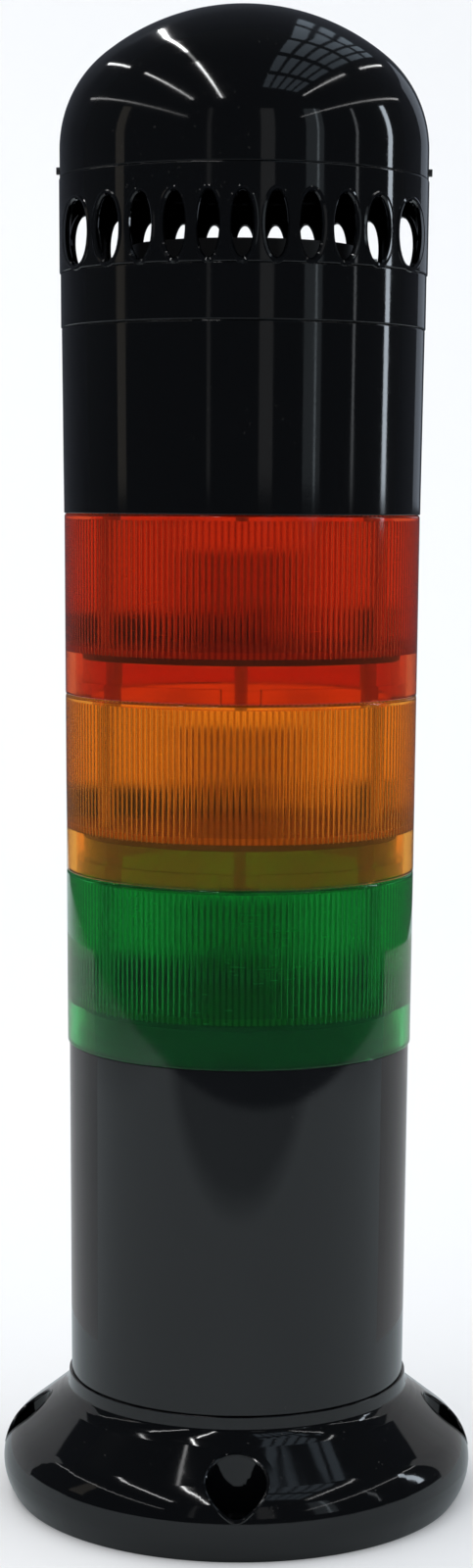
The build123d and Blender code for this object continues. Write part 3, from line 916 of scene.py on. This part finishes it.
def add_low_screen():
    """A low pale screen close behind the part, which only its gloss shows."""
    reach, height, off_floor = 0.2, 0.14, 0.001
    first_angle, sweep, steps = 100, 160, 24
    angles = [math.radians(first_angle + sweep * step / steps) for step in range(steps + 1)]
    points = [(reach * math.sin(a), -reach * math.cos(a), z) for a in angles for z in (off_floor, height)]
    faces = [(2 * i, 2 * i + 2, 2 * i + 3, 2 * i + 1) for i in range(steps)]
    mesh = bpy.data.meshes.new("low_screen")
    mesh.from_pydata(points, [], faces)
    screen = bpy.data.objects.new("low_screen", mesh)
    bpy.context.scene.collection.objects.link(screen)
    pale = new_material("pale_screen", Base_Color=(0.6, 0.6, 0.6, 1.0), Roughness=0.9)[0]
    mesh.materials.append(pale)
    for ray in ("camera", "diffuse", "transmission", "volume_scatter", "shadow"):
        setattr(screen, f"visible_{ray}", False)


def add_light(name, place, size, power, colour=(1.0, 1.0, 1.0), target=None):
    """A soft rectangular light that looks straight down, or at a target with its long side upright."""
    data = bpy.data.lights.new(name, "AREA")
    data.shape = "RECTANGLE"
    data.size, data.size_y = size
    data.energy = power
    data.color = colour
    lamp = bpy.data.objects.new(name, data)
    bpy.context.scene.collection.objects.link(lamp)
    lamp.location = place
    if target:
        lamp.rotation_euler = (Vector(target) - Vector(place)).to_track_quat("-Z", "Y").to_euler()
    lamp.visible_camera = False


def brightness(size, radiance):
    """Power that gives a rectangular light this radiance."""
    return math.pi * size[0] * size[1] * radiance


def add_roof_line(name, side, width, radiance, near=-4.0, far=5.0, colour=(1.0, 1.0, 1.0)):
    """A long light under the roof that runs from front to back."""
    roof_height = 2.0
    size = (width, far - near)
    middle = (side, (near + far) / 2, roof_height)
    add_light(name, middle, size, brightness(size, radiance), colour)


def add_window(name, compass, width, radiance, colour=(1.0, 1.0, 1.0)):
    """An upright light at a compass angle from the front towards the right."""
    reach = 1.5
    sill, head = 0.28, 1.1
    size = (width, head - sill)
    angle = math.radians(compass)
    height = (sill + head) / 2
    place = (reach * math.sin(angle), -reach * math.cos(angle), height)
    add_light(name, place, size, brightness(size, radiance), colour, (0.0, 0.0, height))


def add_skylights():
    """Rows of pale blue panes in the roof, right of the middle."""
    first_side, side_step = 0.42, 0.17
    first_near, near_step = -1.5, 0.75
    width, length, radiance = 0.12, 0.6, 0.6
    rows, columns = 6, 5
    for row in range(rows):
        near = first_near + row * near_step
        for column in range(columns):
            name = f"skylight_{row}_{column}"
            side = first_side + column * side_step
            add_roof_line(name, side, width, radiance, near, near + length, (0.7, 0.85, 1.0))


# Stage and lights: side or compass angle, width and radiance first, in metres and degrees
make_stage()
add_low_screen()
add_roof_line("roof_line_far_left", -2.9, 0.1, 3.0)
add_roof_line("roof_line_left_near", -1.4, 0.05, 12.0, -2.0, 0.1)
add_roof_line("roof_line_left_back", -1.4, 0.05, 12.0, 0.7, 5.0)
add_roof_line("roof_line_middle_near", -0.6, 0.035, 30.0, -2.2, -0.3)
add_roof_line("roof_line_middle", -0.6, 0.035, 4.0, -0.3, 0.15)
add_roof_line("roof_line_middle_back", -0.6, 0.035, 30.0, 0.15, 2.6)
add_roof_line("roof_line_right_near", 1.4, 0.05, 6.0, -1.6, 0.1)
add_roof_line("roof_line_right_back", 1.4, 0.05, 6.0, 0.7, 5.0)
add_roof_line("roof_line_far_right", 2.8, 0.1, 3.0)
add_skylights()
add_window("window_left", -81, 0.18, 0.3, (1.0, 0.9, 0.75))
add_window("window_front_left", -21, 0.06, 0.2)
add_window("window_front_right", 14, 0.22, 0.25)
add_window("window_right_near", 43, 0.3, 0.35, (0.8, 0.92, 1.0))
add_window("window_bar_near", 45, 0.03, 1.6, (0.8, 0.92, 1.0))
add_window("window_bar", 72, 0.05, 1.2, (0.9, 0.95, 1.0))
add_window("window_right", 100, 0.11, 7.0, (0.8, 0.9, 1.0))
add_window("window_behind_right", 150, 0.5, 0.35, (0.75, 0.85, 1.0))

# Surroundings, pale where seen directly and dark where gloss mirrors them
world = bpy.data.worlds.new("studio")
bpy.context.scene.world = world
world.use_nodes = True
background = world.node_tree.nodes["Background"]
surroundings = Shader(world.node_tree)
sky = by_ray(surroundings, (0.9, 0.92, 0.95), (0.05, 0.055, 0.062))
surroundings.join(sky, background.inputs["Color"])
background.inputs["Strength"].default_value = 1.0
